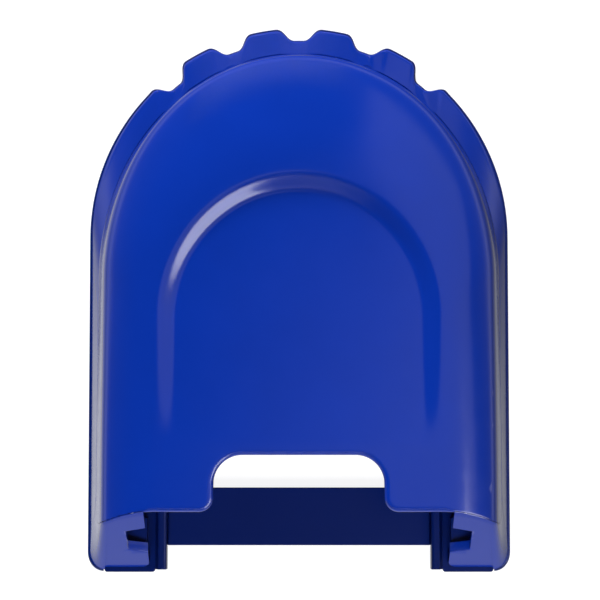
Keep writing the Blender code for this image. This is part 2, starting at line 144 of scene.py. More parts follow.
SHELF_REAR = -0.1155
SHELF_FRONT = -0.1045
ROLLER_CLEAR = 0.0006
FLUTES = 24
FLUTE_DEPTH = 0.00012
TREAD_SIDES = 96
GROOVE_DEPTH = 0.0007
BLOCK_BOTTOM = 0.0023
BLOCK_TOP = 0.0070
CUT_TOP = 0.020

# The rail's section, the bar's seat in it, and the relief at its rear end
RAIL_OUTER = 0.0740
FLANGE_TOP = 0.0078
RAIL_SET_BACK = 0.0014
RAIL_LEAD_IN = 0.0014
RAIL_SHOULDER = 0.0106
RAIL_TOP = 0.0120
RAIL_TOP_OUTER = 0.0660
RAIL_FOOT_OUTER = 0.0676
BAR_SEAT_X = 0.0640
BAR_SEAT_WIDTH = 0.0080
RELIEF_X = 0.0740
RELIEF_Y = -0.1260
RELIEF_SIZE = (0.0078, 0.0130)

# How finely the cover is divided, and the roundings of the cover and the skirt
FILL_LANES = 64
LEG_ROWS = 64
FRONT_ROWS = 110
EDGE_ROUND = 0.0021
LEG_EDGE_ROUND = 0.0003
FOOT_SHAPE = (0.0005, -0.0003, -0.0001)
SET_BACK = 0.0006
RIM_ROUND = 0.0004
FACE_CORNER = 0.0038
# Height below which the skirt's faces take the dark navy finish, a painted shade along its foot.
FOOT_SHADE_TOP = 0.0038
BEVEL_ANGLE = 32
SHARP_ANGLE = 30

# Bosses, and the screws in them: a size is the head's radius and the length of the thread
BOSS_SPOTS = [(-0.0893, -0.070), (0.0893, -0.070), (-0.0893, 0.010), (0.0893, 0.010),
              (-0.0317, 0.1070), (0.0317, 0.1070)]
BOSS_RADIUS = 0.0040
PILOT_RADIUS = 0.0017
HEAD_BORE = 0.0034
SOLE_SCREW_SIZE = (0.0030, 0.0070)
RAIL_SCREW_SIZE = (0.0024, 0.0050)
SCREW_HEAD = 0.0016
THREAD_ROOT = SCREW_RADIUS * 0.8
RECESS_BLADE = 0.0005

# Tufts
TUFT_TOP = 0.0018
TUFT_MIDDLE = 0.0010
TUFT_TIP = 0.0003
TUFT_UNEVEN = 0.00015
STRAND_RING = 0.00032

# Looks
SHELL_BLUE = (0.002, 0.023, 0.27)
# Painted shade: a dark navy for the frame pieces, standing for their blue plastic in the shade under the cover.
FRAME_SHADE_NAVY = (0.001, 0.0095, 0.100)
RUBBER_GREY = (0.045, 0.047, 0.052)
NYLON_WHITE = (0.72, 0.76, 0.80)
STEEL_GREY = (0.62, 0.63, 0.65)
PLASTIC_TINT = 0.10
GLOSS_SPREAD = 0.05
GRAIN_SCALE = 2600
# Convex edges found by pointiness are lightened: partly wear, partly a painted highlight.
EDGE_SHEEN_AND_WEAR_RANGE = (0.570, 0.680)
EDGE_SHEEN_AND_WEAR_LIGHT = 0.16
PANEL_ROUGHER = 0.06

# Stage
FLOOR_REACH = 3
FLOOR_GLOW = 0.90
FLOOR_ALBEDO = 0.25
SKY_STOPS = [(0.0, 1.0), (0.10, 0.95), (0.30, 0.52), (0.50, 1.5), (0.56, 0.65), (0.62, 0.25), (0.75, 0.08),
             (0.86, 0.015), (1.0, 0.008)]
SKY_LEAN = (-0.58, -0.97, 0.0)
SKY_BASE = 0.62
SKY_STRENGTH = 1.15
PANEL_LIGHT_TURN = -21
SENSOR_WIDTH = 36.0
LENS = 127.02
CAMERA_TILT = 4.5
CAMERA_TARGET = (0.0005, -0.002, 0.015)

Ring = namedtuple("Ring", "half_width centre_y front_y")
OUTLINE = Ring(HALF_WIDTH, FRONT_CENTRE, FRONT_CENTRE + HALF_WIDTH)
SEAM = Ring(0.0945, 0.010, 0.1160)
RIM = Ring(0.0655, -0.012, 0.0560)
PANEL = Ring(0.0565, -0.013, 0.0455)
SOLE_EDGE = Ring(SOLE_HALF, 0.019, 0.1190)
LIP = Ring(0.0930, 0.012, 0.1160)


# Plan curves and heights

def inset(ring, amount):
    return Ring(ring.half_width - amount, ring.centre_y, ring.front_y - amount)


def between(first, second, share):
    return Ring(*(a * (1 - share) + b * share for a, b in zip(first, second)))


def smooth(value):
    """A ramp from 0 to 1 with level ends."""
    value = min(max(value, 0.0), 1.0)
    return value * value * (3 - 2 * value)


def steps(low, high, count):
    return [low + (high - low) * index / count for index in range(count + 1)]


def notch_depth(angle):
    index = round(angle / NOTCH_PITCH)
    if index not in NOTCH_DEPTHS:
        return 0.0
    away = abs(angle - index * NOTCH_PITCH)
    return NOTCH_DEPTHS[index] * smooth((NOTCH_HALF_TOP - away) / (NOTCH_HALF_TOP - NOTCH_HALF_BOTTOM))


def tooth_offset(angle):
    """The scalloped edge, measured outwards from the plain arc, with its corners rounded."""
    proud = TOOTH_RISE * smooth((2 * NOTCH_PITCH + TOOTH_FADE - abs(angle)) / TOOTH_FADE)
    depths = [notch_depth(angle + shift) for shift in steps(-TOOTH_BLUR, TOOTH_BLUR, 6)]
    return proud - sum(depths) / len(depths)


def front_point(ring, angle):
    turn = radians(angle)
    return (ring.half_width * sin(turn), ring.centre_y + (ring.front_y - ring.centre_y) * cos(turn))


def rear_at(height):
    """Where the raked rear face stands at a height."""
    return REAR + 0.0003 + (height - SKIRT_BOTTOM) * RAKE


def seam_height(y):
    return SEAM_FRONT + (SEAM_REAR - SEAM_FRONT) * smooth((0.060 - y) / 0.150)


def dome_height(share, y):
    """A steep straight wall at the seam, a tight shoulder, then a slow crown."""
    low = seam_height(y)
    reach = share / (RISER_WIDTH + (RISER_WIDTH_FRONT - RISER_WIDTH) * smooth((y - 0.020) / 0.080))
    wall = reach / (1 + reach ** RISER_TURN) ** (1 / RISER_TURN)
    rise = RISER_SHARE * wall + (1 - RISER_SHARE) * (1 - (1 - share) ** CROWN_POWER)
    return low + (CROWN - low) * rise


def panel_height(y):
    """The sunken panel is deepest at its front and comes level with the crown near the rear."""
    return CROWN - RECESS * min(max((y - RECESS_END) / (PANEL.front_y - RECESS_END), 0.0), 1.0)


# Meshes

def new_object(name, mesh, finish, body=BODY):
    made = bpy.data.objects.new(name, mesh)
    bpy.context.scene.collection.objects.link(made)
    mesh.materials.append(finish)
    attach(made, body)
    return made


def mesh_from(name, points, faces, angle=40, weld=2e-6):
    """A mesh with its doubles welded, its normals outwards and its sharp edges marked."""
    mesh = bpy.data.meshes.new(name)
    mesh.from_pydata(points, [], faces)
    shape = bmesh.new()
    shape.from_mesh(mesh)
    bmesh.ops.remove_doubles(shape, verts=shape.verts, dist=weld)
    bmesh.ops.dissolve_degenerate(shape, edges=shape.edges, dist=weld)
    bmesh.ops.recalc_face_normals(shape, faces=shape.faces)
    shape.to_mesh(mesh)
    shape.free()
    mesh.shade_smooth()
    mesh.set_sharp_from_angle(angle=radians(angle))
    return mesh


def grid_faces(rows, columns, start=0, around=False):
    """Quads over a grid of points stored row by row."""
    faces = []
    for row in range(rows - 1):
        for column in range(columns if around else columns - 1):
            after = (column + 1) % columns
            faces.append((start + row * columns + column, start + row * columns + after,
                          start + (row + 1) * columns + after, start + (row + 1) * columns + column))
    return faces


def loft(sections):
    """Points and faces of a closed solid through closed sections of equal length."""
    count = len(sections[0])
    points = [point for section in sections for point in section]
    faces = grid_faces(len(sections), count, around=True)
    faces.append(tuple(range(count)))
    faces.append(tuple(range(len(points) - count, len(points))))
    return points, faces


# Cover

def arc(centre, radius, start, end, count):
    """Points on a circular arc, with angles in degrees anticlockwise from +X."""
    return [(centre[0] + radius * cos(radians(turn)), centre[1] + radius * sin(radians(turn)))
            for turn in steps(start, end, count)]


def cut_curve():
    """The left half of the rear edge's plan, from the recess's side to the middle of the cut."""
    rear = rear_at(CROWN)
    inner = CUT_HALF_WIDTH - CUT_CORNER
    curve = [(-PANEL.half_width, rear)]
    curve += arc((-CUT_HALF_WIDTH - CUT_FLARE, rear + CUT_FLARE), CUT_FLARE, -90, 0, 16)
    curve += arc((-inner, CUT_FRONT - CUT_CORNER), CUT_CORNER, 180, 90, 24)
    curve.append((0.0, CUT_FRONT))
    return curve


def along(curve, count):
    """Points spaced evenly along a polyline."""
    lengths = [0.0]
    for (x0, y0), (x1, y1) in zip(curve, curve[1:]):
        lengths.append(lengths[-1] + sqrt((x1 - x0) ** 2 + (y1 - y0) ** 2))
    points = []
    for target in steps(0.0, lengths[-1], count):
        index = max(i for i in range(len(lengths) - 1) if lengths[i] <= target + 1e-12)
        span = lengths[index + 1] - lengths[index]
        share = (target - lengths[index]) / span if span else 0.0
        first, second = curve[index], curve[index + 1]
        points.append(tuple(a + (b - a) * share for a, b in zip(first, second)))
    return points


DOME_SHARES = [0.0, 0.003] + steps(0.007, 0.24, 34) + steps(0.27, 1.0, 22)
WALL_SHARES = steps(0.0, 1.0, 14)[1:]


class Lane:
    """One line of the cover from its rear edge to its front, at a fixed place across the section."""

    def __init__(self, kind, share, end):
        self.kind = kind
        self.share = share
        self.ring = {"dome": between(SEAM, RIM, share), "wall": between(RIM, PANEL, share)}.get(kind, PANEL)
        self.end = end

    def plan(self, kind, amount):
        """The place in plan: legs run from the rear edge (0) to the arch's centre line (1)."""
        if kind == "leg":
            inner = 1 - self.share if self.kind == "fill" else 1.0
            start = (-self.ring.half_width * inner, self.ring.centre_y)
            return tuple(b + (a - b) * amount for a, b in zip(start, self.end))
        x, y = front_point(self.ring, amount)
        return (x * (1 - self.share), y) if self.kind == "fill" else (x, y)

    def height(self, y):
        if self.kind == "dome":
            return dome_height(self.share, y)
        if self.kind == "wall":
            return CROWN + (panel_height(y) - CROWN) * smooth(self.share ** RECESS_TURN)
        return panel_height(y)


def seam_fade(y):
    """The groove along the cover's foot is full at the front and runs out down the sides."""
    return smooth((y + 0.035) / 0.060)


def dome_end(share):
    """Where a dome lane meets the rear edge: just inside the skirt's rim, and rounded by the seam."""
    x = SEAM.half_width + (RIM.half_width - SEAM.half_width) * share
    rear = rear_at(dome_height(share, REAR)) + SET_BACK * (1 - smooth((share - 0.80) / 0.06))
    into = (x - SEAM.half_width + CORNER) / CORNER
    if into > 0:
        rear = SIDE_END + (rear - SIDE_END) * sqrt(max(1 - into * into, 0.0))
    return (-x, rear)


def cover_lanes():
    lanes = [Lane("dome", share, dome_end(share)) for share in DOME_SHARES]
    rear = rear_at(CROWN)
    for share in WALL_SHARES:
        lanes.append(Lane("wall", share, (-between(RIM, PANEL, share).half_width, rear)))
    for index, end in enumerate(along(cut_curve(), FILL_LANES)[1:], 1):
        lanes.append(Lane("fill", index / FILL_LANES, end))
    return lanes


def cover_stations():
    near = [0.0, 0.0012, 0.0035, 0.007, 0.011, 0.016, 0.022, 0.030, 0.040]
    legs = near + steps(0.054, 1.0, LEG_ROWS)
    angles = steps(-90, 0, FRONT_ROWS)[1:]
    return [("leg", amount) for amount in legs] + [("front", angle) for angle in angles]


def edge_tree(lanes):
    """The rear edge in plan, for measuring how far a point is from it."""
    ends = [lane.end for lane in lanes]
    fine = along(ends, 1200)
    tree = kdtree.KDTree(len(fine))
    for index, (x, y) in enumerate(fine):
        tree.insert((x, y, 0.0), index)
    tree.balance()
    return tree


def surface_normals(grid):
    """The upward normal at each point of a grid of points."""
    normals = []
    for row in range(len(grid)):
        above, below = grid[max(row - 1, 0)], grid[min(row + 1, len(grid) - 1)]
        line = []
        for column in range(len(grid[0])):
            left = grid[row][max(column - 1, 0)]
            right = grid[row][min(column + 1, len(grid[0]) - 1)]
            normal = (right - left).cross(below[column] - above[column])
            if normal.length < 1e-12:
                normal = Vector((0, 0, 1))
            normal.normalize()
            line.append(normal if normal.z >= 0 else -normal)
        normals.append(line)
    return normals


def edge_reach(lane):
    """How far the rear edge's rounding reaches into the cover on a lane."""
    share = lane.share if lane.kind == "dome" else 1.0
    reach = LEG_EDGE_ROUND * smooth(share / 0.12)
    return reach + (EDGE_ROUND - LEG_EDGE_ROUND) * smooth((share - 0.80) / 0.12)


def edge_drop(reach, away):
    """How far the rounding lowers a point at a distance from the edge."""
    if away >= reach:
        return 0.0
    return reach - sqrt(max(reach * reach - (reach - away) ** 2, 0.0))


def seat_foot(plain, outer, inner):
    """Lifts the cover's foot clear of the skirt, and keeps the inner skin above it."""
    for row in range(len(outer)):
        base = plain[row][0]
        outer[row][0].z = max(outer[row][0].z, base.z) + GAP
        inner[row][0].z = base.z + GAP
        inner[row][1].z = max(inner[row][1].z, base.z + GAP + 0.0002)
    for line in inner:
        for column in range(2, len(line)):
            line[column].z = max(line[column].z, line[0].z + 0.0002)


def cover_half():
    """Outer and inner grids of the left half of the cover."""
    lanes = cover_lanes()
    tree = edge_tree(lanes)
    plain = []
    for kind, amount in cover_stations():
        row = []
        for lane in lanes:
            x, y = lane.plan(kind, amount)
            row.append(Vector((x, y, lane.height(y))))
        plain.append(row)
    normals = surface_normals(plain)
    outer = []
    inner = []
    for row, line in enumerate(plain):
        outside = []
        inside = []
        for column, point in enumerate(line):
            lane = lanes[column]
            normal = normals[row][column]
            drop = edge_drop(edge_reach(lane), tree.find((point.x, point.y, 0.0))[2])
            foot = FOOT_SHAPE[column] * seam_fade(point.y) if column < len(FOOT_SHAPE) else 0.0
            outside.append(point + Vector((0, 0, -drop)) - normal * foot)
            below = point - normal * (COVER_WALL if row > 0 else COVER_WALL * 1.02)
            inside.append(below)
        outer.append(outside)
        inner.append(inside)
    seat_foot(plain, outer, inner)
    return outer, inner


def mirrored_shell(name, outer, inner):
    """A closed shell from the half grids: both skins, the foot and the rear rim, then the other half."""
    rows, columns = len(outer), len(outer[0])
    points = [point for line in outer for point in line] + [point for line in inner for point in line]
    start = rows * columns
    faces = grid_faces(rows, columns) + grid_faces(rows, columns, start)
    for row in range(rows - 1):
        first, second = row * columns, (row + 1) * columns
        faces.append((first, second, second + start, first + start))
    for column in range(columns - 1):
        faces.append((column, column + 1, column + 1 + start, column + start))
    count = len(points)
    for point in points:
        if abs(point.x) < 1e-5:
            point.x = 0.0
    points = points + [Vector((-point.x, point.y, point.z)) for point in points]
    faces = faces + [tuple(index + count for index in reversed(face)) for face in faces]
    return mesh_from(name, points, faces, weld=1e-5)


def texture_share(place):
    """How much of the sunken panel's rougher gloss a place has: 1 at its middle, 0 outside its wall."""
    across = place.x / PANEL.half_width
    ahead = max(place.y - PANEL.centre_y, 0.0) / (PANEL.front_y - PANEL.centre_y)
    return smooth((1.0 - across * across - ahead * ahead) / TEXTURE_FADE)


def make_cover(finish):
    outer, inner = cover_half()
    cover = new_object("cover_moulding", mirrored_shell("cover_moulding", outer, inner), finish)
    shares = cover.data.attributes.new("texture_share", "FLOAT", "POINT")
    for vertex in cover.data.vertices:
        shares.data[vertex.index].value = texture_share(vertex.co)
    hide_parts("top_cover")


# Skirt

# Up the skirt's outer side: how far inside the outline, and the height
FOOT_PROFILE = [(0.0, SKIRT_BOTTOM), (0.0, 0.0030), (0.0002, 0.0034), (0.0010, 0.0036), (0.0011, 0.0040),
                (0.0012, 0.0052), (0.0014, 0.0061), (0.0017, 0.0067), (0.0022, 0.0071), (0.0029, EDGE_TOP)]
LEDGE_LAYERS = 5


def straighten(points, seam, share):
    """Turns the rounded edge above the foot ledge into a straight flank, by a share from 0 to 1."""
    foot = points[LEDGE_LAYERS - 1]
    for index in range(LEDGE_LAYERS, len(points)):
        target = foot.lerp(seam, 0.04 * (index - LEDGE_LAYERS + 1))
        points[index] = points[index].lerp(target, share)


def apron_shares():
    return steps(0.0, 1.0, 14)[1:]


def roof_height(x):
    """The height of the cover's rear edge at a distance from the plane of symmetry."""
    share = (SEAM.half_width - x) / (SEAM.half_width - RIM.half_width)
    return dome_height(min(max(share, 0.0), 1.0), REAR)


def front_section(angle):
    """A section through the skirt on the curved front."""
    turn = radians(angle)
    offset = tooth_offset(angle)
    lift = APRON_SLOPE * notch_depth(angle)
    points = []
    for cut, height in FOOT_PROFILE:
        x, y = front_point(inset(OUTLINE, cut), angle)
        share = min(max((height - 0.0036) / 0.002, 0.0), 1.0)
        points.append(Vector((x + offset * sin(turn), y + offset * cos(turn), height + lift * share)))
    x, y = front_point(SEAM, angle)
    seam = Vector((x, y, seam_height(y)))
    straighten(points, seam, smooth((abs(angle) - 48) / 34))
    points += crease(points[-1], seam)
    x, y = front_point(inset(SEAM, WALL), angle)
    points.append(Vector((x, y, seam.z - 0.0001)))
    x, y = front_point(LIP, angle)
    points += [Vector((x, y, EDGE_TOP + GAP)), Vector((x, y, SOLE_TOP + GAP))]
    x, y = front_point(inset(SOLE_EDGE, -2 * GAP), angle)
    return points + [Vector((x, y, SOLE_TOP + GAP)), Vector((x, y, SKIRT_BOTTOM))]


def crease(edge, seam):
    """The apron from its rounded edge to the groove that runs along the cover's foot."""
    points = [edge.lerp(seam, share * 0.93) for share in apron_shares()]
    rim = points[-1]
    depth = seam_fade(seam.y)
    for share, drop in ((0.25, 0.00015), (0.45, 0.0006), (0.80, 0.0007)):
        points.append(rim.lerp(seam, share) - Vector((0, 0, drop * depth)))
    points.append(seam - Vector((0, 0, 0.0002)))
    return points


def rear_place(ring, height, kind, amount, inner=False):
    """A point on the left side, at its rounded rear corner, or on the raked face beside the throat."""
    end = rear_at(height) + CORNER_DEPTH
    if kind == "side":
        return Vector((-ring.half_width, ring.centre_y + (end - ring.centre_y) * amount, height))
    turn = radians(90 * amount) if kind == "corner" else radians(90)
    radius = CORNER - inner * WALL
    x = ring.half_width - radius + radius * cos(turn)
    z = height
    if kind == "return":
        x += (THROAT_HALF - x) * amount
        if z < SOLE_TOP + 2 * GAP:
            z = SOLE_TOP + 2 * GAP + (z - SOLE_TOP) * 0.01
    y = rear_at(z) + WALL * 1.15 * inner + (0.0020 if ring is LIP else 0.0)
    if kind == "corner":
        y = end + (y - end) * sin(turn)
    return Vector((-x, y, z))


def rim_place(kind, amount, depth, drop):
    """A point by the cover's rear edge, a depth inside the skirt's face and a drop below the edge."""
    turn = radians(90 * amount) if kind == "corner" else radians(90)
    x = SEAM.half_width - CORNER + CORNER * cos(turn)
    if kind == "return":
        x += (THROAT_HALF - x) * amount
    z = max(roof_height(x) - drop, seam_height(SIDE_END) - 0.0002)
    y = SIDE_END + (rear_at(z) - SIDE_END) * sin(turn)
    return Vector((-x + depth * cos(turn), y + depth * sin(turn), z))


def side_seam(amount, inset_by):
    y = SEAM.centre_y + (SIDE_END - SEAM.centre_y) * amount
    return Vector((inset_by - SEAM.half_width, y, seam_height(y)))


def rear_section(kind, amount):
    """A section through the skirt's side, corner or raked return on the left."""
    points = [rear_place(inset(OUTLINE, cut), height, kind, amount) for cut, height in FOOT_PROFILE]
    if kind == "side":
        straighten(points, side_seam(amount, 0.0), 1.0)
        points += crease(points[-1], side_seam(amount, 0.0))
        points.append(side_seam(amount, WALL) - Vector((0, 0, 0.0001)))
    else:
        shoulder = rim_place(kind, amount, 0.0, RIM_ROUND)
        straighten(points, shoulder, 1.0)
        edge = points[-1]
        points += [edge.lerp(shoulder, share) for share in apron_shares()]
        points.append(rim_place(kind, amount, RIM_ROUND * 0.3, RIM_ROUND * 0.3))
        points.append(rim_place(kind, amount, RIM_ROUND, 0.0))
        below = COVER_WALL * 1.35 + GAP
        points.append(rim_place(kind, amount, RIM_ROUND, below * 0.5))
        points.append(rim_place(kind, amount, RIM_ROUND, below))
        points.append(rim_place(kind, amount, WALL, below + 0.0001))
    points.append(rear_place(LIP, EDGE_TOP + GAP, kind, amount, True))
    points.append(rear_place(LIP, SOLE_TOP + GAP, kind, amount, True))
    foot = inset(SOLE_EDGE, -2 * GAP)
    points.append(rear_place(foot, SOLE_TOP + GAP, kind, amount, True))
    points.append(rear_place(foot, SKIRT_BOTTOM, kind, amount, True))
    return points


def slot_cutter(side):
    """The rectangular slot in a raked return, a little wider at the face it opens in."""
    sections = []
    for depth, flare in ((-0.004, 0.0005), (0.0, 0.0002), (0.0004, 0.0), (0.030, 0.0)):
        corners = [(THROAT_HALF - 0.004, SLOT_LOW[0] - flare), (SLOT_WALL + flare, SLOT_LOW[1] - flare),
                   (SLOT_WALL + flare, SLOT_HIGH[1] + flare), (THROAT_HALF - 0.004, SLOT_HIGH[0] + flare)]
        sections.append([Vector((side * x, rear_at(z) + depth, z)) for x, z in corners])
    return loft(sections)


def corner_cutter(side):
    """What rounds off the lower inner corner of a raked return."""
    low = SOLE_TOP + 2 * GAP
    outline = [(THROAT_HALF - 0.001, low - 0.002), (THROAT_HALF + FACE_CORNER, low - 0.002)]
    outline += arc((THROAT_HALF + FACE_CORNER, low + FACE_CORNER), FACE_CORNER, 270, 180, 12)
    outline.append((THROAT_HALF - 0.001, low + FACE_CORNER))
    return loft([[Vector((side * x, y, z)) for x, z in outline] for y in (-0.135, -0.105)])


def turned(profile, count, place, axis="Z"):
    """Points and faces of a solid of revolution; the profile runs (distance along the axis, radius)."""
    sections = []
    for reach, radius in profile:
        ring = []
        for index in range(count):
            turn = 2 * pi * index / count
            across, up = radius * cos(turn), radius * sin(turn)
            spot = (reach, across, up) if axis == "X" else (across, up, reach)
            ring.append(Vector(spot) + Vector(place))
        sections.append(ring)
    return loft(sections)


def gather(parts):
    """Several closed shells as one list of points and faces."""
    points = []
    faces = []
    for more, cells in parts:
        start = len(points)
        points += more
        faces += [tuple(index + start for index in cell) for cell in cells]
    return points, faces


def carve(target, operation, parts):
    """Adds or cuts several closed shells, and applies the result at once."""
    tool = bpy.data.objects.new("tool", mesh_from("tool", *gather(parts)))
    bpy.context.scene.collection.objects.link(tool)
    modifier = target.modifiers.new(operation, "BOOLEAN")
    modifier.operation = operation
    modifier.object = tool
    modifier.solver = "EXACT"
    bpy.context.view_layer.update()
    graph = bpy.context.evaluated_depsgraph_get()
    mesh = bpy.data.meshes.new_from_object(target.evaluated_get(graph))
    target.modifiers.clear()
    target.data = mesh
    bpy.data.objects.remove(tool)


def skirt_angles():
    """Where the front is cut into sections: closely at the notches, widely elsewhere."""
    angles = []
    for index in sorted(NOTCH_DEPTHS):
        angles += [index * NOTCH_PITCH + offset for offset in steps(-7.2, 7.2, 60)]
    angles += [(index + 0.5) * NOTCH_PITCH + offset for index in range(-2, 2) for offset in (-1.6, 0.0, 1.6)]
    angles += [side * angle for side in (-1, 1) for angle in steps(47.5, 90, 22)]
    return sorted(angles)


def fit_bosses(skirt):
    """Adds the bosses, then cuts their pilot holes, the two slots and the rounded lower corners."""
    bosses = []
    pilots = []
    for x, y in BOSS_SPOTS:
        top = seam_height(y) - 0.0002
        bosses.append(turned([(SOLE_TOP + 2 * GAP, BOSS_RADIUS), (top, BOSS_RADIUS)], 32, (x, y, 0)))
        pilots.append(turned([(0.004, PILOT_RADIUS), (top - 0.0006, PILOT_RADIUS)], 24, (x, y, 0)))
    carve(skirt, "UNION", bosses)
    openings = [cutter(side) for cutter in (slot_cutter, corner_cutter) for side in (-1, 1)]
    carve(skirt, "DIFFERENCE", pilots + openings)


def make_skirt(finish, foot_shade_finish):
    """The apron, the sides and the raked returns in one loft, with the foot ledge painted dark navy as the
    shade along the skirt's foot.
    """
    left = [rear_section("return", amount) for amount in (1.0, 0.8, 0.6, 0.4, 0.2, 0.05, 0.002)]
    left += [rear_section("corner", amount) for amount in steps(1.0, 0.0, 18)[:-1]]
    left += [rear_section("side", amount) for amount in steps(1.0, 0.0, 40)[:-1]]
    right = [[Vector((-p.x, p.y, p.z)) for p in section] for section in reversed(left)]
    sections = left + [front_section(angle) for angle in skirt_angles()] + right
    skirt = new_object("skirt_moulding", mesh_from("skirt_moulding", *loft(sections)), finish)
    fit_bosses(skirt)
    # Painted shade: the faces of the foot ledge take the dark navy finish, for the shade along the skirt's
    # foot.
    skirt.data.materials.append(foot_shade_finish)
    for face in skirt.data.polygons:
        face.material_index = int(face.center.z < FOOT_SHADE_TOP)
    skirt.data.shade_smooth()
    skirt.data.set_sharp_from_angle(angle=radians(38))
    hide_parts("skirt")


# Sole, rails and bar

def add_bevel(made, width, segments):
    """Rounds a piece's sharp edges."""
    bevel = made.modifiers.new("soft_edges", "BEVEL")
    bevel.width = width
    bevel.segments = segments
    bevel.limit_method = "ANGLE"
    bevel.angle_limit = radians(BEVEL_ANGLE)
    bevel.harden_normals = False


def apply_modifiers(made):
    """Applies a piece's modifiers, then weights its normals so that flat faces look flat."""
    bpy.context.view_layer.update()
    graph = bpy.context.evaluated_depsgraph_get()
    mesh = bpy.data.meshes.new_from_object(made.evaluated_get(graph))
    made.modifiers.clear()
    made.data = mesh
    mesh.shade_smooth()
    mesh.set_sharp_from_angle(angle=radians(SHARP_ANGLE))
    flatten = made.modifiers.new("flat_faces", "WEIGHTED_NORMAL")
    flatten.keep_sharp = True
    bpy.context.view_layer.update()
    graph = bpy.context.evaluated_depsgraph_get()
    made.data = bpy.data.meshes.new_from_object(made.evaluated_get(graph))
    made.modifiers.clear()


def box_parts(centre, size, low, high):
    """Points and faces of an upright box."""
    x, y = centre
    half_x, half_y = size[0] / 2, size[1] / 2
    corners = [(x - half_x, y - half_y), (x + half_x, y - half_y),
               (x + half_x, y + half_y), (x - half_x, y + half_y)]
    return loft([[Vector((cx, cy, z)) for cx, cy in corners] for z in (low, high)])


def sole_outline():
    """The sole's edge: two legs to the rear, straight sides and a rounded front."""
    right = arc((LEG_INNER + LEG_TIP, REAR + LEG_TIP), LEG_TIP, 180, 270, 6)
    right += arc((LEG_OUTER - LEG_TIP, REAR + LEG_TIP), LEG_TIP, 270, 360, 6)
    right += [(LEG_OUTER, SIDE_END - 0.011), (SOLE_HALF, SIDE_END - 0.001)]
    front = [front_point(SOLE_EDGE, angle) for angle in steps(90, -90, 120)]
    left = [(-x, y) for x, y in reversed(right)]
    mouth = [(LEG_INNER * sin(radians(angle)), MOUTH_CENTRE + MOUTH_REACH * cos(radians(angle)))
             for angle in steps(-90, 90, 60)]
    return right + front + left + mouth


def hole_parts(x, y, radius, low, high):
    """Points and faces of an upright round hole's cutter."""
    return turned([(low, radius), (high, radius)], 32, (x, y, 0))


def make_sole(finish):
    """The horseshoe sole: softened edges, roller lugs, brush pockets, counterbores and grooves."""
    outline = sole_outline()
    plate = loft([[Vector((x, y, z)) for x, y in outline] for z in (SKIRT_BOTTOM, SOLE_TOP)])
    sole = new_object("sole_moulding", mesh_from("sole_moulding", *plate), finish)
    lugs = []
    cuts = []
    bores = []
    reach = AXLE_HALF + GAP
    for x, y in ROLLERS.values():
        for side in (-1, 1):
            middle = x + side * (ROLLER_HALF + ROLLER_CLEAR + LUG_WIDTH / 2)
            lugs.append(box_parts((middle, y), (LUG_WIDTH, LUG_LENGTH), SOLE_TOP - 0.001, LUG_TOP))
        cuts.append(box_parts((x, y), (2 * ROLLER_HALF + 2 * ROLLER_CLEAR, ROLLER_SLOT), 0.0, CUT_TOP))
        bores.append(turned([(-reach, AXLE_RADIUS + GAP), (reach, AXLE_RADIUS + GAP)], 32,
                            (x, y, ROLLER_RADIUS), "X"))
    for spot, size in BRUSHES.values():
        cuts.append(box_parts(spot, (size[0] + 2 * GAP, size[1] + 2 * GAP), 0.0, CUT_TOP))
    for x, y in BOSS_SPOTS:
        cuts.append(turned([(0.0, HEAD_BORE), (SOLE_SCREW_SEAT, HEAD_BORE),
                            (SOLE_SCREW_SEAT, PILOT_RADIUS), (CUT_TOP, PILOT_RADIUS)], 32, (x, y, 0)))
    for side in (-1, 1):
        cuts += [hole_parts(side * RAIL_SCREW_X, y, PILOT_RADIUS, 0.0, CUT_TOP) for y in RAIL_SCREW_YS]
        for index in range(GROOVES):
            y = GROOVE_START + index * GROOVE_PITCH
            cuts.append(box_parts((side * GROOVE_X, y), (GROOVE_LENGTH, GROOVE_WIDTH),
                                  0.0, SKIRT_BOTTOM + GROOVE_DEPTH))
    carve(sole, "UNION", lugs)
    carve(sole, "DIFFERENCE", cuts)
    carve(sole, "DIFFERENCE", bores)
    add_bevel(sole, 0.00025, 2)
    apply_modifiers(sole)
    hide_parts("sole_plate")


def slot_shelf(side):
    """The post and the ledge behind the slot, just below its lower edge, that a lug slides along."""
    inner, outer = THROAT_HALF + 2 * GAP, SLOT_WALL + SHELF_THICK
    top = SLOT_LOW[0] - 2 * GAP
    middle = (SHELF_REAR + SHELF_FRONT) / 2
    length = SHELF_FRONT - SHELF_REAR
    ledge = box_parts((side * (inner + outer) / 2, middle), (outer - inner, length), top - SHELF_THICK, top)
    post = box_parts((side * (inner + SHELF_THICK), middle), (2 * SHELF_THICK, length - 2 * GAP),
                     0.0070, top - GAP)
    return [ledge, post]


